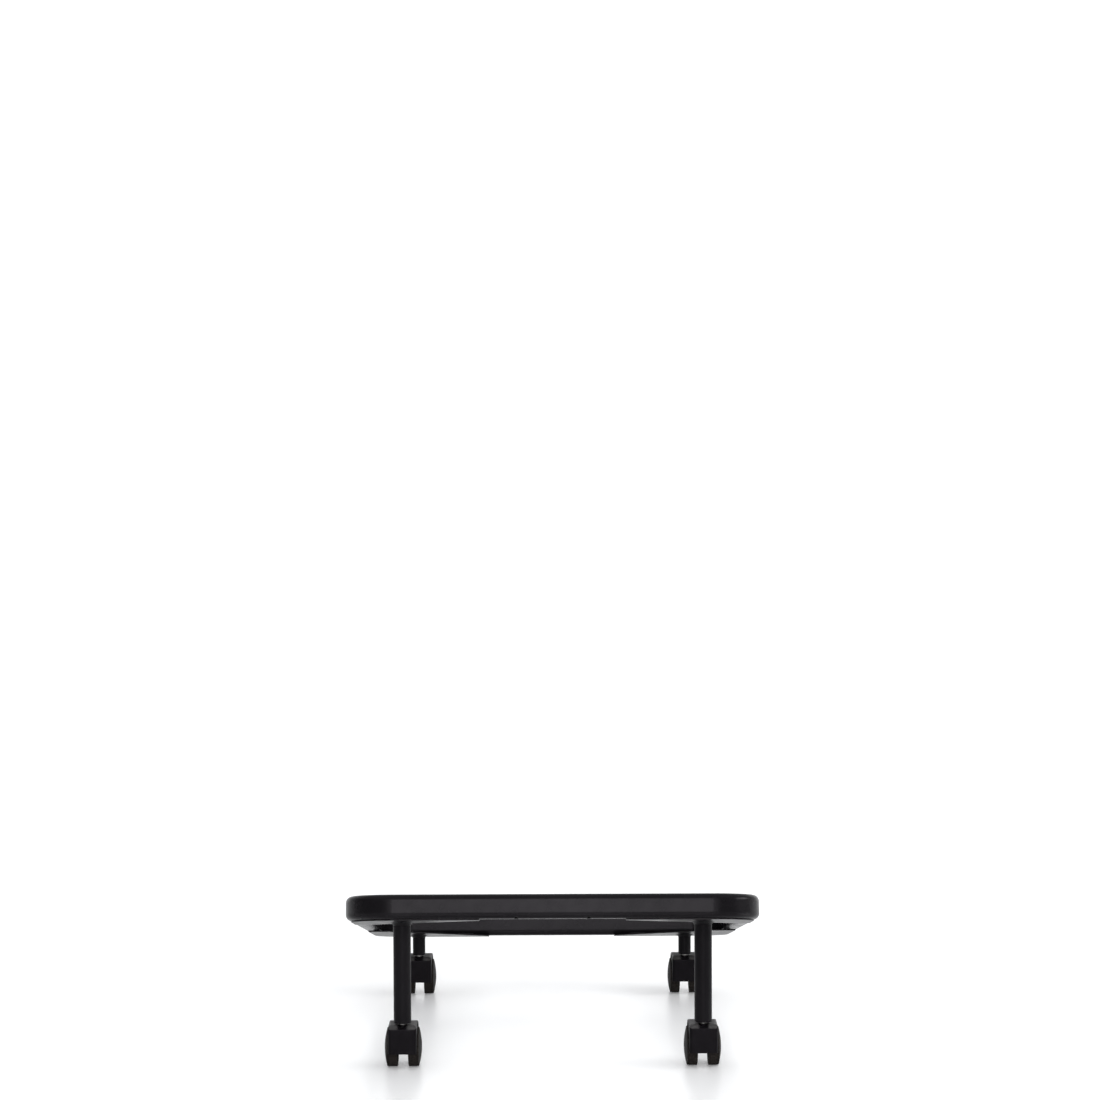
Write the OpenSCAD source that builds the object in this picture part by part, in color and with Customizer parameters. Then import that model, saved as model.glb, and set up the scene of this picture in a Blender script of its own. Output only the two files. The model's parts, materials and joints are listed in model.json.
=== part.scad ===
// Stacking trolley: a sloping ring of steel tube on four posts and twin-wheel castors.
// The ring is high at the front (-Y) and low at the rear (+Y); the floor is Z = 0.

/* [Rim] */
// Width of the rim over its outer side faces
rim_w = 526; // [440:1:620]
// Length of the rim over its outer end faces, along the slope
rim_l = 600; // [520:1:700]
// Slope of the rim, front end high, in degrees
rim_slope = 12.85; // [6:0.05:16]
// Outer radius of the rim's bent corners, seen from above
corner_r = 62; // [45:1:80]
// Width of the rim's tube
tube_w = 20; // [18:0.5:26]
// Height of the rim's tube
tube_h = 31; // [26:0.5:40]
// Outer radius of the tube's long edges
tube_r = 8; // [5:0.25:8.5]
// Wall of the rim's tube
tube_wall = 1.5; // [1:0.1:2.5]
// Diameter of the vent holes under the front bar
vent_d = 5; // [3:0.5:7]
// Distance between the vent holes
vent_pitch = 91; // [60:1:160]
// Distance from the rim's front face in to the vent holes
vent_inset = 5; // [4.5:0.25:7]

/* [Corner plates] */
// Thickness of the corner plates
plate_t = 1.5; // [1:0.1:3]
// Distance from the rim's outer face in to a plate's edge
plate_inset = 7; // [5:0.5:9]
// Length of a plate along the front or rear bar, from the rim's outer side
plate_arm = 171; // [140:1:200]
// Length of a front plate along the side bar, from the rim's outer end
front_plate_side = 136; // [125:1:200]
// Length of a rear plate along the side bar, from the rim's outer end
rear_plate_side = 215; // [150:1:240]
// How far the tip of a front plate reaches past the tube's inner face
front_plate_lip = 4; // [1:0.5:20]
// How far the tip of a rear plate reaches past the tube's inner face
rear_plate_lip = 16; // [4:0.5:24]

/* [Posts] */
// Outer diameter of the front posts
front_post_d = 22.5; // [20:0.5:26]
// Outer diameter of the rear posts
rear_post_d = 18; // [16.5:0.5:20]
// Wall of the posts
post_wall = 1.5; // [1:0.1:1.7]
// Length of a rear post on its axis, from its socket's flange to the plate
rear_post_l = 26; // [24:0.5:60]
// Distance from the rim's outer side face to a post's axis
post_inset_side = 70.5; // [60:0.5:76]
// Distance from the rim's outer end face to a post's axis, measured level
post_inset_end = 72.5; // [60:0.5:80]
// Leg of the weld fillet round the top of a post
weld_leg = 4; // [2:0.5:5]

/* [Castors] */
// Diameter of a wheel
wheel_d = 50; // [46:0.5:60]
// Distance from a swivel axis back to the axle
trail = 18; // [16:0.5:22]
// Width of a wheel at its rim
tread_w = 13.8; // [13:0.1:17]
// Radius of a wheel's outer edge
tread_shoulder = 2; // [1:0.1:3]
// Radius of the tread's inner edge
tread_lead = 1; // [0.5:0.1:1.5]
// Thickness of the tread's ring
tread_t = 4; // [3:0.1:6]
// How far a wheel's domed cheek stands out past its rim
dome_h = 3.1; // [2:0.1:5]
// Distance from the tread in to the edge of the domed cheek
dome_inset = 2; // [1.5:0.1:2.5]
// Distance from a wheel's inner face to the groove beside its tread
groove_at = 11.2; // [9:0.1:11.4]
// Width of the groove beside a wheel's tread
groove_w = 0.9; // [0.5:0.1:1.2]
// Depth of the groove beside a wheel's tread
groove_depth = 0.8; // [0.4:0.1:1.5]
// Thickness of a wheel's domed cheek
cheek_t = 2.2; // [1.5:0.1:3]
// Number of ribs behind a wheel's cheek
rib_count = 6; // [4:1:10]
// Thickness of the ribs behind a wheel's cheek
rib_t = 1.6; // [1:0.1:2.5]
// Outer diameter of a wheel's hub
hub_d = 11; // [9:0.5:14]
// Diameter of the axles
axle_d = 6; // [5:0.25:7]
// Depth of a wheel's bore, from its inner face
bore_depth = 12.5; // [10:0.25:13.5]
// Thickness of the web between the two wheels of a castor
web_t = 13; // [11.8:0.1:16]
// Gap between the web and each wheel
wheel_gap = 0.5; // [0.3:0.05:1]
// Wall of a castor's hood
hood_wall = 3; // [2:0.1:4]
// Gap between a wheel's tread and its hood
hood_gap = 5; // [3.5:0.1:6]
// Width of a castor's hood
hood_w = 37; // [32:0.1:41]
// Radius of the hood's side edges
hood_edge_r = 4.5; // [2:0.25:5]
// Radius of the hood's brow, where its top falls to the front
hood_brow_r = 16; // [14:0.25:24]
// Distance from the hood's front back to where its brow begins
hood_brow_reach = 11.2; // [8:0.1:12]
// Radius of the edge between the hood's brow and its front
hood_lip_r = 2.5; // [1:0.1:4]
// Depth of the saddle between the hood's two fenders
saddle_depth = 3.5; // [1.5:0.1:4]
// Radius of the saddle's round bottom
saddle_r = 8; // [6.5:0.1:12]
// Diameter of the neck in the saddle, on which the stem's shoulder turns
neck_d = 13; // [12:0.1:15]
// Diameter of the boss round the pin, under the hood's top
pin_boss_d = 16; // [13:0.5:20]
// Gap between the pin's boss and the wheels
boss_gap = 1.5; // [1:0.1:3]
// Height of the hood's front edge above the floor
hood_front_z = 22; // [16:0.5:26]
// Radius round the axle of the web's lower boss
web_boss_r = 9; // [7:0.25:11]
// Angle above level at which the hood ends behind the wheels
hood_rear_angle = 28; // [15:1:45]

/* [Stems] */
// Diameter of a castor's stem
stem_d = 11; // [10:0.1:11.2]
// Length of stem that shows between a hood and its post
stem_show = 2.5; // [2:0.5:8]
// Length of stem inside its socket
stem_grip = 18; // [14:0.5:19]
// Gap between a stem's end and the end of its socket
stem_end_gap = 2; // [0.5:0.1:2.5]
// Chamfer on a stem's upper end
stem_chamfer = 0.8; // [0.3:0.1:1.5]
// Diameter of the pin below the stem, on which a hood turns
pin_d = 8; // [7:0.1:8.5]
// Length of the pin inside its hood
pin_l = 22; // [18:0.5:23]
// Thickness of a socket's flange
flange_t = 1.5; // [1:0.1:3]
// Thickness of a socket's closed end
socket_end = 1.5; // [1:0.1:2.5]
// Thickness of the grip and snap rings
ring_t = 1.2; // [0.8:0.1:1.6]
// Distance from a stem's or pin's end to the middle of its ring
ring_end = 4; // [3:0.1:6]
// Angle of the gap in a split ring
ring_split = 30; // [15:1:60]
// How far a ring stands into the groove on each side of its fit
ring_bite = 0.5; // [0.3:0.05:0.55]

/* [Fits] */
// Radial clearance of pins and axles that turn in a bore
run_fit = 0.05; // [0.02:0.01:0.1]
// Clearance round a ring in its grooves, and of sockets in their posts
loose_fit = 0.1; // [0.05:0.01:0.15]
// Gap under a stem's shoulder, on which the hood turns
shoulder_gap = 0.3; // [0.2:0.05:0.5]

/* [Hidden] */
$fn = 64;

// Each corner: its name, the sign of its X and the sign of its Y
CORNERS = [["front_left", -1, -1], ["front_right", 1, -1], ["rear_left", -1, 1], ["rear_right", 1, 1]];
// Each wheel of a castor: its name and the sign of its X
WHEELS = [["left", -1], ["right", 1]];

black_paint = [0.09, 0.085, 0.09];
black_nylon = [0.10, 0.095, 0.10];
grey_tread = [0.17, 0.16, 0.16];
zinc = [0.72, 0.73, 0.74];

// How far a cut runs past the face it opens, and a joined form into its neighbour
past = 1;

// Castor heights, from the floor up
axle_z = wheel_d / 2;
hood_in_r = wheel_d / 2 + hood_gap;
hood_out_r = hood_in_r + hood_wall;
hood_top = axle_z + hood_out_r;
hood_front = trail - hood_out_r;
brow_start = hood_front + hood_brow_reach;
brow_mid_z = hood_top - hood_brow_r;
lip_rise = sqrt(pow(hood_brow_r - hood_lip_r, 2) - pow(hood_brow_reach - hood_lip_r, 2));
lip_z = brow_mid_z + lip_rise;
brow_end = brow_start - hood_brow_r * (hood_brow_reach - hood_lip_r) / (hood_brow_r - hood_lip_r);
post_z = hood_top + stem_show;

// Post places and the height of the rim's plane
post_x = rim_w / 2 - post_inset_side;
post_y = rim_l / 2 * cos(rim_slope) - post_inset_end;
plate_under = tube_h / 2 + plate_t;
rear_top_z = post_z + flange_t + rear_post_l;
rim_mid_z = rear_top_z + post_y * tan(rim_slope) + plate_under / cos(rim_slope);

// Length of a socket and heights of the two rings on a stem
socket_l = stem_grip + stem_end_gap + socket_end;
grip_ring_z = post_z + stem_grip - ring_end;
snap_ring_z = hood_top - pin_l + ring_end;

// Wheel's inner face and the reach of the axle
wheel_in_x = web_t / 2 + wheel_gap;
axle_l = 2 * (wheel_in_x + bore_depth - wheel_gap);
dome_base_r = wheel_d / 2 - dome_inset;
dome_r = (dome_base_r * dome_base_r + dome_h * dome_h) / (2 * dome_h);
dome_mid = tread_w + dome_h - dome_r;
rib_l = wheel_d / 2 - tread_t - hub_d / 2;

function post_d(end) = end < 0 ? front_post_d : rear_post_d;
function post_bore(end) = post_d(end) - 2 * post_wall;

// Places children in the rim's own plane, at the middle of its tube
module on_slope() {
    translate([0, 0, rim_mid_z]) rotate([-rim_slope, 0, 0]) children();
}

// Places children on the swivel axis of one corner, at the floor
module at_corner(corner) {
    translate([corner[1] * post_x, corner[2] * post_y, 0]) children();
}

// Rectangle of w by h, centred, with corners of radius r
module rounded_rect(w, h, r) {
    square([w - 2 * r, h], center = true);
    square([w, h - 2 * r], center = true);
    for (sx = [-1, 1], sy = [-1, 1]) {
        translate([sx * (w / 2 - r), sy * (h / 2 - r)]) circle(r = r);
    }
}

// Section of the rim's tube
module tube_section() {
    difference() {
        rounded_rect(tube_w, tube_h, tube_r);
        rounded_rect(tube_w - 2 * tube_wall, tube_h - 2 * tube_wall, tube_r - tube_wall);
    }
}

// One bent ring of tube, vented below its front bar
module rim_tube() {
    bar_y = (rim_l - tube_w) / 2;
    side_x = (rim_w - tube_w) / 2;
    turns = [[1, 1], [-1, 1], [-1, -1], [1, -1]];
    color(black_paint) on_slope() difference() {
        union() {
            for (s = [-1, 1]) {
                translate([0, s * bar_y, 0]) rotate([90, 0, 90])
                    linear_extrude(rim_w - 2 * corner_r, center = true) tube_section();
                translate([s * side_x, 0, 0]) rotate([90, 0, 0])
                    linear_extrude(rim_l - 2 * corner_r, center = true) tube_section();
            }
            for (k = [0:3]) {
                translate([turns[k][0] * (rim_w / 2 - corner_r), turns[k][1] * (rim_l / 2 - corner_r), 0])
                    rotate(90 * k) rotate_extrude(angle = 90)
                        translate([corner_r - tube_w / 2, 0]) tube_section();
            }
        }
        for (s = [-1, 1]) {
            translate([s * vent_pitch / 2, vent_inset - rim_l / 2, -tube_h / 2 - past])
                cylinder(d = vent_d, h = tube_r + past);
        }
    }
}

// Outline of a plate in the corner of +X and +Y, in the rim's plane
module plate_outline(side_l, lip) {
    tip_x = rim_w / 2 - plate_arm;
    tip_y = rim_l / 2 - tube_w - lip;
    end_x = rim_w / 2 - tube_w - lip;
    end_y = rim_l / 2 - side_l;
    intersection() {
        rounded_rect(rim_w - 2 * plate_inset, rim_l - 2 * plate_inset, corner_r - plate_inset);
        polygon([
            [rim_w / 2, rim_l / 2], [tip_x, rim_l / 2], [tip_x, tip_y],
            [end_x, end_y], [rim_w / 2, end_y]
        ]);
    }
}

// Sheet gusset lapped under one corner of the rim
module corner_plate(corner) {
    front = corner[2] < 0;
    side_l = front ? front_plate_side : rear_plate_side;
    lip = front ? front_plate_lip : rear_plate_lip;
    color(black_paint) on_slope() translate([0, 0, -plate_under])
        linear_extrude(plate_t)
            mirror([corner[1] < 0 ? 1 : 0, 0]) mirror([0, front ? 1 : 0])
                plate_outline(side_l, lip);
}

// Everything above the underside of the plates
module above_plates() {
    big = 2 * rim_l;
    on_slope() translate([-big / 2, -big / 2, -plate_under]) cube([big, big, big]);
}

// Round tube from its socket's flange up to the slanting plate
module post(corner) {
    end = corner[2];
    base_z = post_z + flange_t;
    reach = rim_mid_z + rim_l / 2 - base_z;
    color(black_paint) difference() {
        at_corner(corner) translate([0, 0, base_z]) difference() {
            cylinder(d = post_d(end), h = reach);
            translate([0, 0, -past]) cylinder(d = post_bore(end), h = reach + 2 * past);
        }
        above_plates();
    }
}

// Fillets of weld metal round the tops of the posts
module post_welds() {
    color(black_paint) for (corner = CORNERS) post_weld(corner);
}

// One hollow-faced fillet, square to its plate and cut to fit its post
module post_weld(corner) {
    d = post_d(corner[2]);
    plate_z = rim_mid_z - corner[2] * post_y * tan(rim_slope) - plate_under / cos(rim_slope);
    difference() {
        at_corner(corner) translate([0, 0, plate_z]) rotate([-rim_slope, 0, 0])
            rotate_extrude() difference() {
                translate([d / 2 - past, -weld_leg]) square([weld_leg + past, weld_leg]);
                translate([d / 2 + weld_leg, -weld_leg]) circle(r = weld_leg);
            }
        at_corner(corner) cylinder(d = d, h = rim_mid_z + rim_l / 2);
    }
}

// Flanged plug in the foot of a post, bored and grooved for the stem
module stem_socket(corner) {
    end = corner[2];
    bore = stem_d + 2 * run_fit;
    color(black_nylon) at_corner(corner) translate([0, 0, post_z]) difference() {
        union() {
            cylinder(d = post_d(end), h = flange_t);
            cylinder(d = post_bore(end) - 2 * loose_fit, h = socket_l);
        }
        translate([0, 0, -past]) cylinder(d = bore, h = socket_l - socket_end + past);
        translate([0, 0, grip_ring_z - post_z]) ring_groove(stem_d + 2 * ring_bite + 2 * loose_fit);
    }
}

// Annular cut for a ring, centred on its own height
module ring_groove(d) {
    cylinder(d = d, h = ring_t + 2 * loose_fit, center = true);
}

// Split spring ring, centred on its own height
module split_ring(in_d, out_d) {
    rotate(ring_split / 2) rotate_extrude(angle = 360 - ring_split)
        translate([in_d / 2, -ring_t / 2]) square([(out_d - in_d) / 2, ring_t]);
}

// What is left of a shaft in its groove
module groove_cut(shaft_d) {
    difference() {
        ring_groove(shaft_d + 2 * past);
        cylinder(d = shaft_d - 2 * ring_bite - 2 * loose_fit, h = 2 * ring_t + 2 * past, center = true);
    }
}

// Turned steel stem: grip above, shoulder between, swivel pin below
module castor_stem(corner) {
    shoulder_z = hood_top + shoulder_gap;
    grip_top = post_z + stem_grip;
    color(zinc) at_corner(corner) difference() {
        union() {
            translate([0, 0, shoulder_z]) cylinder(d = stem_d, h = grip_top - stem_chamfer - shoulder_z);
            translate([0, 0, grip_top - stem_chamfer])
                cylinder(d1 = stem_d, d2 = stem_d - 2 * stem_chamfer, h = stem_chamfer);
            translate([0, 0, hood_top - pin_l]) cylinder(d = pin_d, h = pin_l + past);
        }
        translate([0, 0, grip_ring_z]) groove_cut(stem_d);
        translate([0, 0, snap_ring_z]) groove_cut(pin_d);
    }
}

// Rings that hold the stems in their sockets
module grip_rings() {
    color(zinc) for (corner = CORNERS) at_corner(corner) translate([0, 0, grip_ring_z])
        split_ring(stem_d - 2 * ring_bite, stem_d + 2 * ring_bite);
}

// Rings that hold the hoods on the stems' pins
module snap_rings() {
    color(zinc) for (corner = CORNERS) at_corner(corner) translate([0, 0, snap_ring_z])
        split_ring(pin_d - 2 * ring_bite, pin_d + 2 * ring_bite);
}

// Extrudes a side outline, drawn as Y across and Z up, over the width w
module across(w) {
    rotate([90, 0, 90]) linear_extrude(w, center = true) children();
}

// Side outline of the hood: front wall, lip, falling brow, top and arc over the wheels
module hood_outline() {
    translate([trail, axle_z]) circle(r = hood_out_r);
    translate([hood_front, hood_front_z]) square([trail - hood_front, lip_z - hood_front_z]);
    translate([hood_front + hood_lip_r, lip_z]) circle(r = hood_lip_r);
    translate([brow_start, hood_front_z]) square([trail - brow_start, hood_top - hood_front_z]);
    intersection() {
        translate([brow_start, brow_mid_z]) circle(r = hood_brow_r);
        translate([brow_end, hood_front_z]) square([brow_start - brow_end, hood_top - hood_front_z]);
    }
}

// Side outline of what lies below the hood and behind its rear edge
module hood_clear() {
    big = 4 * hood_out_r;
    translate([trail, axle_z]) rotate(hood_rear_angle) translate([0, -big]) square([big, big]);
    translate([hood_front - big / 2, hood_front_z - big]) square([big, big]);
}

// Moulded hood: two fenders over the wheels, web between them, bored for the pin and the axle
module castor_hood(corner) {
    color(black_nylon) at_corner(corner) difference() {
        union() {
            hood_shell();
            hood_web();
            pin_boss();
        }
        hood_saddle();
        translate([0, 0, hood_top - pin_l - past]) cylinder(d = pin_d + 2 * run_fit, h = pin_l + 2 * past);
        translate([0, 0, snap_ring_z]) ring_groove(pin_d + 2 * ring_bite + 2 * loose_fit);
        translate([0, trail, axle_z]) rotate([0, 90, 0]) cylinder(d = axle_d, h = hood_w, center = true);
    }
}

// Shell of even wall over the wheels, its side edges rounded
module hood_shell() {
    length = 2 * hood_out_r;
    intersection() {
        across(hood_w) difference() {
            hood_outline();
            hood_clear();
            translate([trail, axle_z]) circle(r = hood_in_r);
        }
        translate([0, hood_front + length / 2, hood_top / 2]) rotate([90, 0, 0])
            linear_extrude(length, center = true) rounded_rect(hood_w, hood_top, hood_edge_r);
        linear_extrude(hood_top) translate([0, hood_front + length / 2])
            rounded_rect(hood_w, length, hood_edge_r);
    }
}

// Round-bottomed dip between the fenders, from the front back to the neck
module hood_saddle() {
    difference() {
        translate([0, hood_front - past, hood_top + saddle_r - saddle_depth]) rotate([-90, 0, 0])
            cylinder(r = saddle_r, h = past - hood_front);
        cylinder(d = neck_d, h = hood_top + past);
    }
}

// Round boss under the hood's top, clear of the wheels
module pin_boss() {
    difference() {
        translate([0, 0, axle_z]) cylinder(d = pin_boss_d, h = hood_top - hood_wall / 2 - axle_z);
        translate([0, trail, axle_z]) rotate([0, 90, 0])
            cylinder(r = wheel_d / 2 + boss_gap, h = pin_boss_d + 2 * past, center = true);
    }
}

// Web between the wheels, carrying the swivel pin in front and the axle below
module hood_web() {
    across(web_t) {
        difference() {
            hood_outline();
            hood_clear();
        }
        translate([trail, axle_z]) circle(r = web_boss_r);
    }
}

// Plain steel axle, pressed in the web and carrying a wheel on each end
module castor_axle(corner) {
    color(zinc) at_corner(corner) translate([0, trail, axle_z]) rotate([0, 90, 0])
        cylinder(d = axle_d, h = axle_l, center = true);
}

// Half section of a wheel's outer form: radius across, distance from its inner face up
module wheel_form() {
    square([wheel_d / 2 - tread_shoulder, tread_w]);
    square([wheel_d / 2 - tread_lead, tread_w - tread_shoulder]);
    translate([0, tread_lead]) square([wheel_d / 2, tread_w - tread_shoulder - tread_lead]);
    translate([wheel_d / 2 - tread_shoulder, tread_w - tread_shoulder]) circle(r = tread_shoulder);
    translate([wheel_d / 2 - tread_lead, tread_lead]) circle(r = tread_lead);
    intersection() {
        translate([0, dome_mid]) circle(r = dome_r);
        translate([0, tread_w - past]) square([dome_base_r, dome_h + 2 * past]);
    }
}

// Half section of the hollow between a wheel's hub and its tread, even with the cheek's dome
module wheel_hollow() {
    intersection() {
        translate([0, dome_mid]) circle(r = dome_r - cheek_t);
        translate([hub_d / 2, -past]) square([rib_l, tread_w + dome_h]);
    }
}

// Half section of the groove beside a wheel's tread
module tread_groove() {
    translate([wheel_d / 2 - groove_depth, groove_at]) square([groove_depth + past, groove_w]);
}

// Ribs between a wheel's hub and its tread
module wheel_ribs() {
    for (k = [1:rib_count]) {
        rotate(k * 360 / rib_count) translate([hub_d / 2 - past, -rib_t / 2, past])
            cube([rib_l + 2 * past, rib_t, tread_w + dome_h]);
    }
}

// Wheel with a domed cheek outside and hub, ribs and hollow inside
module castor_wheel(corner, side) {
    color(grey_tread) at_corner(corner) translate([side * wheel_in_x, trail, axle_z])
        rotate([0, side * 90, 0]) difference() {
            union() {
                rotate_extrude() difference() {
                    wheel_form();
                    wheel_hollow();
                    tread_groove();
                }
                intersection() {
                    wheel_ribs();
                    rotate_extrude() wheel_form();
                }
            }
            translate([0, 0, -past]) cylinder(d = axle_d + 2 * run_fit, h = bore_depth + past);
        }
}

rim_tube();
post_welds();
grip_rings();
snap_rings();
for (corner = CORNERS) {
    corner_plate(corner);
    post(corner);
    stem_socket(corner);
    castor_stem(corner);
    castor_hood(corner);
    castor_axle(corner);
    for (wheel = WHEELS) {
        wheel_node = str(corner[0], "_castor_", wheel[0], "_wheel");
        castor_wheel(corner, wheel[1]);
    }
}
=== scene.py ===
import json
import math

import bpy
from mathutils import Matrix, Vector, noise


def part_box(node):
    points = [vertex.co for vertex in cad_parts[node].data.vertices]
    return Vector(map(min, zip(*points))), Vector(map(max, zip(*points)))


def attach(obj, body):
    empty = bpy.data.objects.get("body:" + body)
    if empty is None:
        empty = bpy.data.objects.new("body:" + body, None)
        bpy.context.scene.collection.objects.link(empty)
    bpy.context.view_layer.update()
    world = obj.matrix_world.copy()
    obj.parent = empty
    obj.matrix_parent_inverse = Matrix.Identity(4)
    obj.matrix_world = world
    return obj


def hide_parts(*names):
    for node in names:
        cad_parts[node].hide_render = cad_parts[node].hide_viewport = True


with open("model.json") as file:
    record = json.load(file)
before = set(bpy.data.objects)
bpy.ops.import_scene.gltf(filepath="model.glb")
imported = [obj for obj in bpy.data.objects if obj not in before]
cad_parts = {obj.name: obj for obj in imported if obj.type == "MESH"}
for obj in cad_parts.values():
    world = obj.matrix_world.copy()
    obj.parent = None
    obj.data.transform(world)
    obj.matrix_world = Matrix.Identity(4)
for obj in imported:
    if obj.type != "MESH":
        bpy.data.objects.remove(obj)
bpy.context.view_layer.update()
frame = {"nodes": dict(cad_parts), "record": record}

# Rim.
# One ring of rectangular steel tube, bent at four corners and closed by a weld, sloping down to the
# rear. It is powder coated in satin black after welding, and its top carries the load.

PAINT_DEEP = (0.0036, 0.0032, 0.0038, 1.0)
PAINT_WORN = (0.0066, 0.0060, 0.0069, 1.0)
PAINT_DUST = (0.024, 0.023, 0.022, 1.0)
PAINT_SHEEN = (1.0, 0.95, 1.02, 1.0)

# Features to the metre in the coat's drift of colour, dust, rubbed patches, gloss and orange peel
PAINT_DRIFT_SCALE = 7.0
PAINT_SPECK_SCALE = 420.0
PAINT_PATCH_SCALE = 60.0
PAINT_GLOSS_SCALE = 55.0
PAINT_PEEL_SCALE = 620.0

# Span of each noise that counts, what it becomes at either end, and the strength of the peel
PAINT_DRIFT_SPAN = (0.35, 0.68)
PAINT_SPECK_SPAN = (0.52, 0.75)
PAINT_SPECK_SHARE = (0.0, 0.6)
PAINT_PATCH_SPAN = (0.4, 0.7)
PAINT_PATCH_SHARE = (0.05, 0.65)
PAINT_GLOSS_SPAN = (0.3, 0.7)
PAINT_PEEL_STRENGTH = 0.35

# How far a surface faces up where dust begins to lie on paint, and where it lies fully
PAINT_LYING_SPAN = (0.75, 1.0)

# Match of the rounded normal with the true one where wear begins, and where it is full
WEAR_SPAN = (0.99, 0.80)

# Rays that find how an edge is rounded
EDGE_SAMPLES = 6

# Places of the colour sockets on a Mix node
MIX_SHARE, MIX_FIRST, MIX_SECOND = 0, 6, 7
MIX_RESULT = 2


def add(tree, kind, values=None, **settings):
    """Adds a shader node; values gives each input a number, a colour or the output that feeds it."""
    made = tree.nodes.new(kind)
    for name, value in settings.items():
        setattr(made, name, value)
    for socket, value in (values or {}).items():
        if isinstance(value, bpy.types.NodeSocket):
            tree.links.new(value, made.inputs[socket])
        else:
            made.inputs[socket].default_value = value
    return made


def new_material(name, **uniform):
    """A material with its shader, whose uniform values are set on the shader's own sockets."""
    material = bpy.data.materials.new(name)
    material.use_nodes = True
    shader = material.node_tree.nodes["Principled BSDF"]
    for socket, value in uniform.items():
        shader.inputs[socket.replace("_", " ")].default_value = value
    return material, material.node_tree, shader


def feed(tree, source, shader, socket):
    """Joins an output to one of the shader's sockets."""
    tree.links.new(source, shader.inputs[socket])


def grain(tree, place, scale, detail=3.0, roughness=0.5):
    """Value of a noise of that scale, in features to the metre."""
    values = {"Vector": place, "Scale": scale, "Detail": detail, "Roughness": roughness}
    return add(tree, "ShaderNodeTexNoise", values).outputs["Fac"]


def spread(tree, value, low, high, to_low=0.0, to_high=1.0):
    """Maps a value from one range to another, held at the ends."""
    values = {"Value": value, "From Min": low, "From Max": high, "To Min": to_low, "To Max": to_high}
    return add(tree, "ShaderNodeMapRange", values).outputs["Result"]


def times(tree, first, second):
    """Product of two values."""
    return add(tree, "ShaderNodeMath", {0: first, 1: second}, operation="MULTIPLY").outputs["Value"]


def mixed(tree, share, first, second):
    """Colour between two colours."""
    values = {MIX_SHARE: share, MIX_FIRST: first, MIX_SECOND: second}
    return add(tree, "ShaderNodeMix", values, data_type="RGBA").outputs[MIX_RESULT]


def facing_up(tree):
    """How far a surface faces up: 1 on a level top and 0 on a wall."""
    normal = add(tree, "ShaderNodeNewGeometry").outputs["Normal"]
    return add(tree, "ShaderNodeSeparateXYZ", {0: normal}).outputs["Z"]


def rounded_edges(tree, radius):
    """Normal that runs round edges with that radius, as a coat or a moulding does."""
    return add(tree, "ShaderNodeBevel", {"Radius": radius}, samples=EDGE_SAMPLES).outputs["Normal"]


def edge_wear(tree, rounded):
    """Share of wear, highest on sharp edges: where the rounded normal leaves the true one."""
    true = add(tree, "ShaderNodeNewGeometry").outputs["Normal"]
    match = add(tree, "ShaderNodeVectorMath", {0: rounded, 1: true}, operation="DOT_PRODUCT")
    return spread(tree, match.outputs["Value"], *WEAR_SPAN)


def grainy_skin(tree, height, strength, depth, normal):
    """Normal of a skin with a fine relief of that depth, in metres."""
    values = {"Strength": strength, "Distance": depth, "Normal": normal, "Height": height}
    return add(tree, "ShaderNodeBump", values).outputs["Normal"]


def powder_coat(name, smooth, rough, peel, shine=0.066, flow=0.0006):
    """Satin black powder coat: a fine orange peel, drifting gloss, thin dust on top and rubbed edges.
    It flows over edges with the radius given as flow."""
    material, tree, shader = new_material(name, Specular_IOR_Level=shine, Specular_Tint=PAINT_SHEEN)
    place = add(tree, "ShaderNodeTexCoord").outputs["Object"]
    rounded = rounded_edges(tree, flow)
    drift = spread(tree, grain(tree, place, PAINT_DRIFT_SCALE, detail=5.0), *PAINT_DRIFT_SPAN)
    coat = mixed(tree, drift, PAINT_DEEP, PAINT_WORN)
    upward_share = spread(tree, facing_up(tree), *PAINT_LYING_SPAN)
    specks = grain(tree, place, PAINT_SPECK_SCALE, detail=4.0, roughness=0.7)
    pale_top_share = times(tree, upward_share, spread(tree, specks, *PAINT_SPECK_SPAN, *PAINT_SPECK_SHARE))
    pale_topped = mixed(tree, pale_top_share, coat, PAINT_DUST)
    patches = grain(tree, place, PAINT_PATCH_SCALE)
    rubbed = times(tree, edge_wear(tree, rounded),
                   spread(tree, patches, *PAINT_PATCH_SPAN, *PAINT_PATCH_SHARE))
    feed(tree, mixed(tree, rubbed, pale_topped, PAINT_DUST), shader, "Base Color")
    gloss = grain(tree, place, PAINT_GLOSS_SCALE, detail=4.0)
    feed(tree, spread(tree, gloss, *PAINT_GLOSS_SPAN, smooth, rough), shader, "Roughness")
    bumps = grain(tree, place, PAINT_PEEL_SCALE, detail=2.0)
    feed(tree, grainy_skin(tree, bumps, PAINT_PEEL_STRENGTH, peel, rounded), shader, "Normal")
    return material


def dress(material, *nodes):
    """Gives a finish to nodes of the frame."""
    for node in nodes:
        for held in frame["nodes"][node].material_slots:
            held.material = material


rim_coat = powder_coat("rim_powder_coat", smooth=0.22, rough=0.30, peel=0.00006, flow=0.0020)
dress(rim_coat, "rim_tube")

# Corner plates.
# Four gussets of thin sheet steel, cut to a slant and lapped under the rim's corners.
# They carry the posts and the feet of the load, and have the rim's coat, a little duller.

CORNERS = ("front_left", "front_right", "rear_left", "rear_right")


def at_corners(piece):
    """The four nodes of a piece that every corner has."""
    return [f"{corner}_{piece}" for corner in CORNERS]


plate_coat = powder_coat("plate_powder_coat", smooth=0.27, rough=0.36, peel=0.00008)
dress(plate_coat, *at_corners("plate"))

# Stitch welds.
# Short rippled beads of weld hold each plate to the rim: inside, in the groove under the tube's round
# edge, and a touch at the front edge. They are laid before coating, so the same paint covers them.

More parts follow.
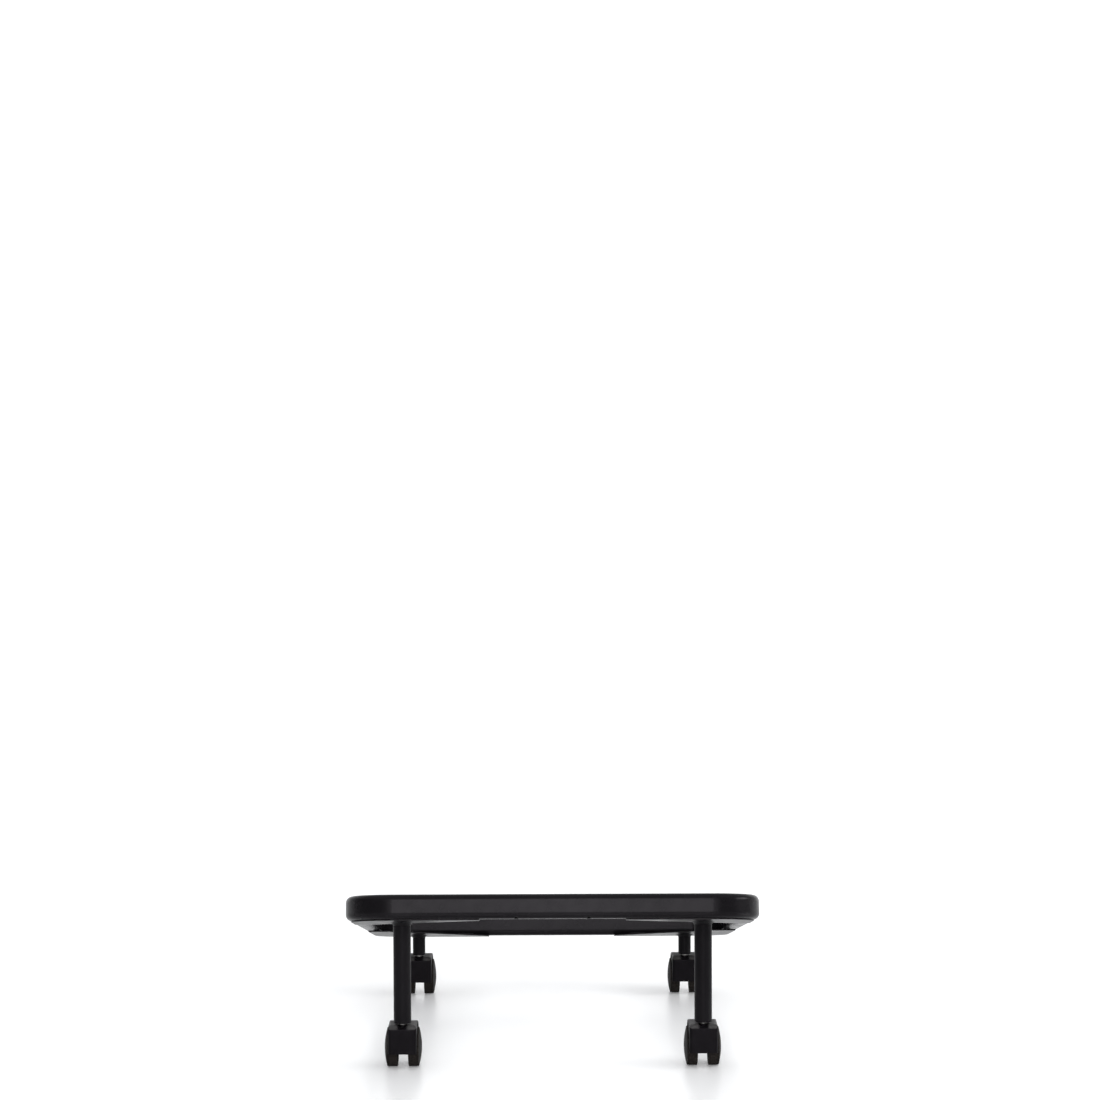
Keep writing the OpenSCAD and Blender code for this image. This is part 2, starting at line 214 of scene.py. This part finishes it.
RIM_TOP = next(mount for mount in frame["record"]["mounts"] if mount["name"] == "rim_top")
SLOPE_UP = Vector(RIM_TOP["axis"]).normalized()
SLOPE_ACROSS = Vector((1.0, 0.0, 0.0))
SLOPE_BACK = SLOPE_UP.cross(SLOPE_ACROSS)

# A bead's ripples: how far apart, the step along one, their least size and swell, and its sides
STITCH_PITCH = 0.0019
STITCH_STEP = STITCH_PITCH / 6
STITCH_LEAST = 0.90
STITCH_SWELL = 0.14
STITCH_SIDES = 12

# Its lumps, as a share and in features to the metre, and how it is drawn in at its ends
STITCH_LUMP = 0.12
STITCH_LUMP_SCALE = 260.0
STITCH_END_POWER = 6
STITCH_END_LEAST = 0.02

# Depth of a bead's foot below its own middle, which ends inside the sheet
STITCH_SINK = 0.0017

# Distance of an inner bead from the plate's outer edge, its height above the plate, and the radii
INNER_SEAM = 0.0122
INNER_LIFT = 0.0009
INNER_RADIUS = 0.0027
FRONT_RADIUS = 0.0016

# An inner bead's length, and the middles along a plate's end bar and side bar, from its outer edges
STITCH_LENGTH = 0.024
END_STITCHES = (0.080, 0.130)
SIDE_STITCHES = {"front": (0.075, 0.110), "rear": (0.072, 0.112, 0.152)}

# Beads at the front edge: corner, middle along the end bar and length
FRONT_TOUCHES = (("front_left", 0.118, 0.009), ("front_right", 0.143, 0.034))


def reach(node, direction):
    """Lowest and highest place of a node along a direction, at rest."""
    places = [vertex.co.dot(direction) for vertex in frame["nodes"][node].data.vertices]
    return min(places), max(places)


def on_slope(across, back, up):
    """Point of the frame from its places along the slope's three directions."""
    return SLOPE_ACROSS * across + SLOPE_BACK * back + SLOPE_UP * up


def stitch(start, end, thick, verts, faces):
    """Adds one closed bead from start to end: rippled along its length, drawn in at its ends."""
    length = (end - start).length
    forward = (end - start) / length
    side = forward.cross(SLOPE_UP)
    stations = round(length / STITCH_STEP)
    first = len(verts)
    for station in range(stations + 1):
        along = station / stations
        taper = max(1.0 - abs(2.0 * along - 1.0) ** STITCH_END_POWER, STITCH_END_LEAST) ** 0.5
        ripple = STITCH_LEAST + STITCH_SWELL * abs(math.sin(math.pi * along * length / STITCH_PITCH))
        lump = 1.0 + STITCH_LUMP * noise.noise((start + forward * along * length) * STITCH_LUMP_SCALE)
        radius = thick * taper * ripple * lump
        for k in range(STITCH_SIDES):
            turn = 2.0 * math.pi * k / STITCH_SIDES
            rise = max(radius * math.sin(turn), -STITCH_SINK)
            out = side * (radius * math.cos(turn)) + SLOPE_UP * rise
            verts.append(start + forward * along * length + out)
    for station in range(stations):
        for k in range(STITCH_SIDES):
            a = first + station * STITCH_SIDES + k
            b = first + station * STITCH_SIDES + (k + 1) % STITCH_SIDES
            faces.append((a, b, b + STITCH_SIDES, a + STITCH_SIDES))
    last = first + stations * STITCH_SIDES
    faces.append(tuple(range(first + STITCH_SIDES - 1, first - 1, -1)))
    faces.append(tuple(range(last, last + STITCH_SIDES)))


def piece_from(name, verts, faces, material, body):
    """A smooth-shaded piece of the object that rides on a body."""
    mesh = bpy.data.meshes.new(name)
    mesh.from_pydata([tuple(v) for v in verts], [], faces)
    mesh.materials.append(material)
    mesh.polygons.foreach_set("use_smooth", [True] * len(faces))
    piece = bpy.data.objects.new(name, mesh)
    bpy.context.scene.collection.objects.link(piece)
    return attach(piece, body)


bead_verts, bead_faces = [], []
for corner in CORNERS:
    plate = f"{corner}_plate"
    end, side = corner.split("_")
    inward = 1.0 if side == "left" else -1.0
    onward = 1.0 if end == "front" else -1.0
    side_edge = reach(plate, SLOPE_ACROSS)[0 if side == "left" else 1]
    end_edge = reach(plate, SLOPE_BACK)[0 if end == "front" else 1]
    seam_up = reach(plate, SLOPE_UP)[1] + INNER_LIFT
    for middle in END_STITCHES:
        places = [side_edge + inward * (middle + s * STITCH_LENGTH / 2) for s in (-1, 1)]
        ends = [on_slope(place, end_edge + onward * INNER_SEAM, seam_up) for place in places]
        stitch(*ends, INNER_RADIUS, bead_verts, bead_faces)
    for middle in SIDE_STITCHES[end]:
        places = [end_edge + onward * (middle + s * STITCH_LENGTH / 2) for s in (-1, 1)]
        ends = [on_slope(side_edge + inward * INNER_SEAM, place, seam_up) for place in places]
        stitch(*ends, INNER_RADIUS, bead_verts, bead_faces)
    for touched, middle, length in FRONT_TOUCHES:
        if touched == corner:
            places = [side_edge + inward * (middle + s * length / 2) for s in (-1, 1)]
            ends = [on_slope(place, end_edge, seam_up) for place in places]
            stitch(*ends, FRONT_RADIUS, bead_verts, bead_faces)

weld_coat = powder_coat("weld_powder_coat", smooth=0.32, rough=0.42, peel=0.00006)
piece_from("plate_stitch_welds", bead_verts, bead_faces, weld_coat, "frame")

# Posts.
# Four lengths of round steel tube, upright, cut to the slope at the top and welded under the plates.
# The front pair is long and stout and the rear pair short and slim; all have a duller black coat.

post_coat = powder_coat("post_powder_coat", smooth=0.34, rough=0.44, peel=0.00010, shine=0.052)
dress(post_coat, *at_corners("post"))

# Post welds.
# A hollow-faced fillet of weld runs round the top of each post where it meets its plate.
# Each is one pass laid by hand, with ripples a couple of millimetres apart.

FILLET_LEG = 0.0040
FILLET_STEPS = 9

# Place of the face's pull between the weld's root, at 0, and its toes, at 1: hollow when small
FILLET_BELLY = 0.16

# Its ripples: how far apart, how many turns make one, their least size and swell, and its lumps
FILLET_PITCH = 0.0022
FILLET_TURNS = 7
FILLET_LEAST = 0.94
FILLET_SWELL = 0.10
FILLET_LUMP = 0.10
FILLET_LUMP_SCALE = 180.0

fillet_verts, fillet_faces = [], []
for corner in CORNERS:
    low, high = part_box(f"{corner}_post")
    axis_x, axis_y = (low.x + high.x) / 2, (low.y + high.y) / 2
    radius = (high.x - low.x) / 2
    under = reach(f"{corner}_plate", SLOPE_UP)[0]
    turns = round(2 * math.pi * radius / FILLET_PITCH) * FILLET_TURNS
    rings = FILLET_STEPS + 2
    first = len(fillet_verts)
    for turn in range(turns):
        angle = 2 * math.pi * turn / turns
        cos, sin = math.cos(angle), math.sin(angle)
        x, y = axis_x + radius * cos, axis_y + radius * sin
        root = Vector((x, y, (under - y * SLOPE_UP.y) / SLOPE_UP.z))
        outward = Vector((cos, sin, -sin * SLOPE_UP.y / SLOPE_UP.z)).normalized()
        ripple = FILLET_LEAST + FILLET_SWELL * abs(math.sin(math.pi * turn / FILLET_TURNS))
        leg = FILLET_LEG * ripple * (1.0 + FILLET_LUMP * noise.noise(root * FILLET_LUMP_SCALE))
        sheet_end = root + outward * leg
        post_end = root - Vector((0.0, 0.0, leg))
        belly = root + (outward - Vector((0.0, 0.0, 1.0))) * leg * FILLET_BELLY
        fillet_verts.append(root)
        for step in range(FILLET_STEPS + 1):
            t = step / FILLET_STEPS
            fillet_verts.append(sheet_end * (1 - t) ** 2 + belly * (2 * t * (1 - t)) + post_end * t * t)
    for turn in range(turns):
        for ring in range(rings):
            a = first + turn * rings + ring
            b = first + turn * rings + (ring + 1) % rings
            c = first + (turn + 1) % turns * rings + (ring + 1) % rings
            d = first + (turn + 1) % turns * rings + ring
            fillet_faces.append((a, b, c, d))

fillets = piece_from("post_fillet_welds", fillet_verts, fillet_faces, weld_coat, "frame")
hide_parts("post_welds")

# Stem sockets.
# A flanged plug of black nylon is pressed into the foot of each post to take a castor's stem.
# Only the thin flange shows, below the tube's end.

NYLON_DEEP = (0.0026, 0.0022, 0.0028, 1.0)
NYLON_PALE = (0.0046, 0.0040, 0.0048, 1.0)
NYLON_RUBBED = (0.030, 0.028, 0.027, 1.0)
NYLON_DUST_AND_HIGHLIGHT = (0.066, 0.063, 0.063, 1.0)
NYLON_SHEEN = (1.0, 0.93, 1.03, 1.0)
NYLON_SHINE = 0.055

# Radius of a moulded edge
NYLON_EDGE = 0.0005

# Features to the metre in the nylon's flow marks, dust with painted highlight, rubbed patches, gloss and
# moulded texture
NYLON_FLOW_SCALE = 38.0
NYLON_DUST_AND_HIGHLIGHT_SCALE = 260.0
NYLON_PATCH_SCALE = 130.0
NYLON_GLOSS_SCALE = 90.0
NYLON_TEXTURE_SCALE = 1900.0

# Span of each noise that counts, what it becomes at either end, and the strength of the texture
NYLON_FLOW_SPAN = (0.35, 0.7)
NYLON_DUST_AND_HIGHLIGHT_SPAN = (0.30, 0.65)
NYLON_DUST_AND_HIGHLIGHT_SHARE = (0.55, 1.0)
NYLON_PATCH_SPAN = (0.35, 0.7)
NYLON_PATCH_SHARE = (0.15, 0.75)
NYLON_GLOSS_SPAN = (0.3, 0.7)
NYLON_TEXTURE_STRENGTH = 0.4

# How far a surface faces up where the nylon's pale top begins, dust and a painted highlight of light from
# above, and where it is full
NYLON_FACING_UP_SPAN = (0.40, 0.85)

# Half width of the painted shade of the post down the middle of a top, as shares of the moulding's width:
# fully shaded, then none
POST_SHADE_SPAN = (0.13, 0.21)

# Middle of a piece's own box, whose sides run from 0 to 1
MIDDLE = 0.5


def black_nylon(name, smooth, rough, texture):
    """Moulded black nylon: a fine spark-eroded texture, flow marks, pale rubbed edges, and a pale top that
    is dust and a painted highlight of light from above, with painted shade of the post down its middle.
    """
    material, tree, shader = new_material(name, Specular_IOR_Level=NYLON_SHINE, Specular_Tint=NYLON_SHEEN)
    coords = add(tree, "ShaderNodeTexCoord")
    place = coords.outputs["Object"]
    rounded = rounded_edges(tree, NYLON_EDGE)
    marks = spread(tree, grain(tree, place, NYLON_FLOW_SCALE, detail=4.0), *NYLON_FLOW_SPAN)
    body = mixed(tree, marks, NYLON_DEEP, NYLON_PALE)
    upward_share = spread(tree, facing_up(tree), *NYLON_FACING_UP_SPAN)
    # The middle of the top is left dark: painted shade of the post above it.
    across = add(tree, "ShaderNodeSeparateXYZ", {0: coords.outputs["Generated"]}).outputs["X"]
    aside = add(tree, "ShaderNodeMath", {0: across, 1: MIDDLE}, operation="SUBTRACT").outputs["Value"]
    off_middle = add(tree, "ShaderNodeMath", {0: aside}, operation="ABSOLUTE").outputs["Value"]
    top_outside_post_shade = times(tree, upward_share, spread(tree, off_middle, *POST_SHADE_SPAN))
    # Pale top: dust, and a painted highlight of light falling from above.
    dust_and_highlight_grain = grain(tree, place, NYLON_DUST_AND_HIGHLIGHT_SCALE, detail=4.0, roughness=0.6)
    pale_top_share = times(tree, top_outside_post_shade, spread(tree, dust_and_highlight_grain, *NYLON_DUST_AND_HIGHLIGHT_SPAN, *NYLON_DUST_AND_HIGHLIGHT_SHARE))
    pale_topped = mixed(tree, pale_top_share, body, NYLON_DUST_AND_HIGHLIGHT)
    patches = grain(tree, place, NYLON_PATCH_SCALE)
    rubbed = times(tree, edge_wear(tree, rounded),
                   spread(tree, patches, *NYLON_PATCH_SPAN, *NYLON_PATCH_SHARE))
    feed(tree, mixed(tree, rubbed, pale_topped, NYLON_RUBBED), shader, "Base Color")
    gloss = grain(tree, place, NYLON_GLOSS_SCALE, detail=4.0)
    feed(tree, spread(tree, gloss, *NYLON_GLOSS_SPAN, smooth, rough), shader, "Roughness")
    sparks = grain(tree, place, NYLON_TEXTURE_SCALE, detail=3.0)
    feed(tree, grainy_skin(tree, sparks, NYLON_TEXTURE_STRENGTH, texture, rounded), shader, "Normal")
    return material


socket_nylon = black_nylon("socket_nylon", smooth=0.42, rough=0.55, texture=0.00005)
dress(socket_nylon, *at_corners("socket"))

# Stems and rings.
# Turned steel stems, zinc plated, with a grip above the shoulder and a swivel pin below it.
# Split spring rings snap into grooves and hold each stem in its socket and each hood on its pin.

STEM_ZINC = (0.19, 0.188, 0.181, 1.0)
RING_STEEL = (0.42, 0.42, 0.43, 1.0)

# Colour of the plate's darker clouds, as a share of its own, and its least and greatest roughness
ZINC_CLOUD = 0.72
ZINC_ROUGHNESS = (0.22, 0.38)

# Features to the metre in the clouds and the gloss, the span of noise that counts, and the lathe's rings
ZINC_CLOUD_SCALE = 160.0
ZINC_GLOSS_SCALE = 300.0
ZINC_SPAN = (0.3, 0.7)
LATHE_SCALE = 900.0
LATHE_WANDER = 0.6
LATHE_STRENGTH = 0.25
LATHE_DEPTH = 0.00004


def zinc_steel(name, tint, lathe):
    """Zinc-plated turned steel: fine lathe rings along its axis and a cloudy plate."""
    material, tree, shader = new_material(name, Metallic=1.0)
    place = add(tree, "ShaderNodeTexCoord").outputs["Object"]
    clouds = spread(tree, grain(tree, place, ZINC_CLOUD_SCALE, detail=4.0), *ZINC_SPAN)
    deep = tuple(ZINC_CLOUD * channel for channel in tint[:3]) + (1.0,)
    feed(tree, mixed(tree, clouds, deep, tint), shader, "Base Color")
    gloss = grain(tree, place, ZINC_GLOSS_SCALE)
    feed(tree, spread(tree, gloss, *ZINC_SPAN, *ZINC_ROUGHNESS), shader, "Roughness")
    rings = add(tree, "ShaderNodeTexWave",
                {"Vector": place, "Scale": LATHE_SCALE, "Distortion": LATHE_WANDER}, bands_direction=lathe)
    cut = add(tree, "ShaderNodeBump",
              {"Strength": LATHE_STRENGTH, "Distance": LATHE_DEPTH, "Height": rings.outputs["Fac"]})
    feed(tree, cut.outputs["Normal"], shader, "Normal")
    return material


dress(zinc_steel("stem_zinc", STEM_ZINC, "Z"), *at_corners("stem"))
dress(zinc_steel("ring_spring_steel", RING_STEEL, "Z"), "grip_rings", "snap_rings")

# Castor hoods.
# One moulding of black nylon each: a shell over two wheels with a web between them.
# It hangs on the stem's pin and turns on it.

hood_nylon = black_nylon("hood_nylon", smooth=0.38, rough=0.52, texture=0.00006)
dress(hood_nylon, *at_corners("hood"))

# Axles.
# A plain steel pin, zinc plated, is pressed through each hood's web.
# It carries a wheel on either end.

AXLE_ZINC = (0.60, 0.61, 0.62, 1.0)

dress(zinc_steel("axle_zinc", AXLE_ZINC, "X"), *at_corners("axle"))

# Wheels.
# Hard nylon wheels with a domed cheek outside and ribs inside, two to a castor.
# The tread is a warm dark grey, scuffed by floors, and the cheeks are smoother and darker.

CHEEK_DEEP = (0.0095, 0.0087, 0.0085, 1.0)
CHEEK_PALE = (0.0170, 0.0157, 0.0153, 1.0)
TREAD_DEEP = (0.0100, 0.0087, 0.0081, 1.0)
TREAD_PALE = (0.0255, 0.0214, 0.0192, 1.0)
WHEEL_SHINE = 0.028

# Drops the axle's direction from a place in the wheel's box, and makes the wheel's radius 1
ACROSS_AXLE = (0.0, 2.0, 2.0)

# Share of the wheel's radius where the tread begins, and from where all is tread
TREAD_SPAN = (0.93, 0.965)

# Features to the metre in the cheek's clouds, the tread's scuffs, the gloss and the moulded skin
CHEEK_SCALE = 45.0
SCUFF_SCALE = 420.0
WHEEL_GLOSS_SCALE = 120.0
WHEEL_SKIN_SCALE = 900.0

# Span of each noise that counts, the cheek's roughness, and what the tread adds to it
CHEEK_SPAN = (0.35, 0.7)
SCUFF_SPAN = (0.42, 0.66)
WHEEL_GLOSS_SPAN = (0.3, 0.7)
CHEEK_ROUGHNESS = (0.44, 0.56)
TREAD_DULLER = 0.20

# Strength and depth of the skin's relief
WHEEL_SKIN_STRENGTH = 0.35
WHEEL_SKIN_DEPTH = 0.00008


def wheel_nylon(name):
    """Nylon wheel: smooth, cloudy cheeks and a duller, scuffed tread round them."""
    material, tree, shader = new_material(name, Specular_IOR_Level=WHEEL_SHINE)
    coords = add(tree, "ShaderNodeTexCoord")
    place = coords.outputs["Object"]
    centred = add(tree, "ShaderNodeVectorMath",
                  {0: coords.outputs["Generated"], 1: (MIDDLE, MIDDLE, MIDDLE)}, operation="SUBTRACT")
    flat = add(tree, "ShaderNodeVectorMath",
               {0: centred.outputs["Vector"], 1: ACROSS_AXLE}, operation="MULTIPLY")
    radius = add(tree, "ShaderNodeVectorMath", {0: flat.outputs["Vector"]}, operation="LENGTH")
    tread = spread(tree, radius.outputs["Value"], *TREAD_SPAN)
    clouds = spread(tree, grain(tree, place, CHEEK_SCALE, detail=4.0), *CHEEK_SPAN)
    cheek = mixed(tree, clouds, CHEEK_DEEP, CHEEK_PALE)
    scuffs = spread(tree, grain(tree, place, SCUFF_SCALE, detail=6.0, roughness=0.65), *SCUFF_SPAN)
    scuffed = mixed(tree, scuffs, TREAD_DEEP, TREAD_PALE)
    feed(tree, mixed(tree, tread, cheek, scuffed), shader, "Base Color")
    gloss = grain(tree, place, WHEEL_GLOSS_SCALE, detail=4.0)
    polish = spread(tree, gloss, *WHEEL_GLOSS_SPAN, *CHEEK_ROUGHNESS)
    dulled = add(tree, "ShaderNodeMath", {0: tread, 1: TREAD_DULLER, 2: polish}, operation="MULTIPLY_ADD")
    feed(tree, dulled.outputs["Value"], shader, "Roughness")
    bumps = grain(tree, place, WHEEL_SKIN_SCALE, detail=4.0)
    rounded = rounded_edges(tree, NYLON_EDGE)
    skin = grainy_skin(tree, bumps, WHEEL_SKIN_STRENGTH, WHEEL_SKIN_DEPTH, rounded)
    feed(tree, skin, shader, "Normal")
    return material


dress(wheel_nylon("wheel_nylon"), *at_corners("castor_left_wheel"), *at_corners("castor_right_wheel"))

# Studio.
# A white sweep of paper lies under the object and rises behind it, and shows white to the camera.
# A pale ceiling, brighter walls on the right, and a softbox in front and on the right light it softly.

SWEEP_HALF_WIDTH = 20.0
SWEEP_FRONT = -20.0
SWEEP_BEND_START = 4.0
SWEEP_BEND_RADIUS = 1.6
SWEEP_BEND_STEPS = 16
SWEEP_TOP = 7.0
SWEEP_COLOUR = (0.92, 0.92, 0.925, 1.0)
SWEEP_SHEEN = 0.38
SWEEP_ROUGHNESS = 0.31

# The paper's glow near the object and far from it, and the distances where these begin. It shows to the
# camera and in reflections, and sheds no light on matt surfaces.
SWEEP_GLOW = (0.13, 0.66)
SWEEP_GLOW_SPAN = (0.7, 3.2)

sweep_profile = [(SWEEP_FRONT, 0.0)]
for step in range(SWEEP_BEND_STEPS + 1):
    angle = math.pi / 2 * step / SWEEP_BEND_STEPS
    sweep_profile.append((SWEEP_BEND_START + SWEEP_BEND_RADIUS * math.sin(angle),
                          SWEEP_BEND_RADIUS * (1.0 - math.cos(angle))))
sweep_profile.append((SWEEP_BEND_START + SWEEP_BEND_RADIUS, SWEEP_TOP))
sweep_verts = [(s * SWEEP_HALF_WIDTH, y, z) for y, z in sweep_profile for s in (-1, 1)]
sweep_faces = [(2 * k, 2 * k + 1, 2 * k + 3, 2 * k + 2) for k in range(len(sweep_profile) - 1)]
sweep_mesh = bpy.data.meshes.new("sweep")
sweep_mesh.from_pydata(sweep_verts, [], sweep_faces)
sweep_mesh.polygons.foreach_set("use_smooth", [True] * len(sweep_faces))
sweep = bpy.data.objects.new("sweep", sweep_mesh)
bpy.context.scene.collection.objects.link(sweep)

paper = bpy.data.materials.new("sweep_paper")
paper.use_nodes = True
paper_tree = paper.node_tree
paper_tree.nodes.clear()
path = add(paper_tree, "ShaderNodeLightPath").outputs
direct = add(paper_tree, "ShaderNodeMath", {0: path["Is Camera Ray"], 1: path["Is Glossy Ray"]},
             operation="MAXIMUM").outputs["Value"]
seen = add(paper_tree, "ShaderNodeMath", {0: direct, 1: path["Is Transmission Ray"]},
           operation="MAXIMUM").outputs["Value"]
spot = add(paper_tree, "ShaderNodeNewGeometry").outputs["Position"]
away = add(paper_tree, "ShaderNodeVectorMath", {0: spot}, operation="LENGTH").outputs["Value"]
lift = spread(paper_tree, away, *SWEEP_GLOW_SPAN, *SWEEP_GLOW)
glow = add(paper_tree, "ShaderNodeEmission", {"Strength": times(paper_tree, seen, lift)})
matt = add(paper_tree, "ShaderNodeBsdfDiffuse", {"Color": SWEEP_COLOUR})
sheen = add(paper_tree, "ShaderNodeBsdfGlossy", {"Roughness": SWEEP_ROUGHNESS})
face = add(paper_tree, "ShaderNodeMixShader",
           {0: SWEEP_SHEEN, 1: matt.outputs["BSDF"], 2: sheen.outputs["BSDF"]})
both = add(paper_tree, "ShaderNodeAddShader", {0: face.outputs["Shader"], 1: glow.outputs["Emission"]})
add(paper_tree, "ShaderNodeOutputMaterial", {"Surface": both.outputs["Shader"]})
sweep_mesh.materials.append(paper)

# The point that the lamps face
AIM = Vector((0.0, -0.1, 0.2))


def softbox(name, azimuth, elevation, distance, width, height, radiance):
    """A flat lamp of even brightness, where 1 is white paper's.
    Its azimuth is 0 in front and 90 on the right, in degrees, as its elevation is."""
    lamp = bpy.data.lights.new(name, "AREA")
    lamp.shape = "RECTANGLE"
    lamp.size = width
    lamp.size_y = height
    lamp.energy = radiance * math.pi * width * height
    turn, rise = math.radians(azimuth), math.radians(elevation)
    out = Vector((math.sin(turn) * math.cos(rise), -math.cos(turn) * math.cos(rise), math.sin(rise)))
    held = bpy.data.objects.new(name, lamp)
    held.location = AIM + out * distance
    held.rotation_euler = (-out).to_track_quat("-Z", "Y").to_euler()
    held.visible_camera = False
    bpy.context.scene.collection.objects.link(held)


softbox("front_softbox", azimuth=0.0, elevation=20.5, distance=3.8, width=1.60, height=2.00, radiance=8.4)
softbox("right_softbox", azimuth=82.0, elevation=20.0, distance=3.0, width=1.5, height=0.70, radiance=13.0)

# Brightness of the left and right walls and the ceiling, the directions between which each grows, and
# the tint of all of them
WALLS = (0.14, 0.45)
WALLS_SPAN = (-0.5, 0.9)
CEILING = 1.20
CEILING_SPAN = (0.30, 0.90)
ROOM_TINT = (0.97, 0.985, 1.0, 1.0)

world = bpy.data.worlds.new("studio")
world.use_nodes = True
room_tree = world.node_tree
toward = add(room_tree, "ShaderNodeTexCoord").outputs["Generated"]
split = add(room_tree, "ShaderNodeSeparateXYZ", {0: toward}).outputs
walls = spread(room_tree, split["X"], *WALLS_SPAN, *WALLS)
room = room_tree.nodes["Background"]
room.inputs["Color"].default_value = ROOM_TINT
feed(room_tree, spread(room_tree, split["Z"], *CEILING_SPAN, walls, CEILING), room, "Strength")
bpy.context.scene.world = world
bpy.context.scene.view_settings.view_transform = "Standard"

# Camera.
# It stands low in front, a little above the object.
# Its place and lens keep the photograph's own framing.

CAMERA_PLACE = (-0.0086, -3.501, 0.800)
CAMERA_TURN = math.radians(-0.126)
CAMERA_PITCH = math.radians(2.362)
CAMERA_ROLL = math.radians(-0.22)
FOCAL_PIXELS = 2584.0
IMAGE_PIXELS = 1100.0
SENSOR_MM = 36.0
FARTHEST_SEEN = 100.0

camera = bpy.data.cameras.new("camera")
camera.sensor_width = SENSOR_MM
camera.lens = FOCAL_PIXELS / IMAGE_PIXELS * SENSOR_MM
camera.clip_end = FARTHEST_SEEN
viewer = bpy.data.objects.new("camera", camera)
facing = Matrix.Rotation(CAMERA_TURN, 4, "Z") @ Matrix.Rotation(math.pi / 2 - CAMERA_PITCH, 4, "X")
viewer.matrix_world = Matrix.Translation(CAMERA_PLACE) @ facing @ Matrix.Rotation(CAMERA_ROLL, 4, "Z")
bpy.context.scene.collection.objects.link(viewer)
bpy.context.scene.camera = viewer
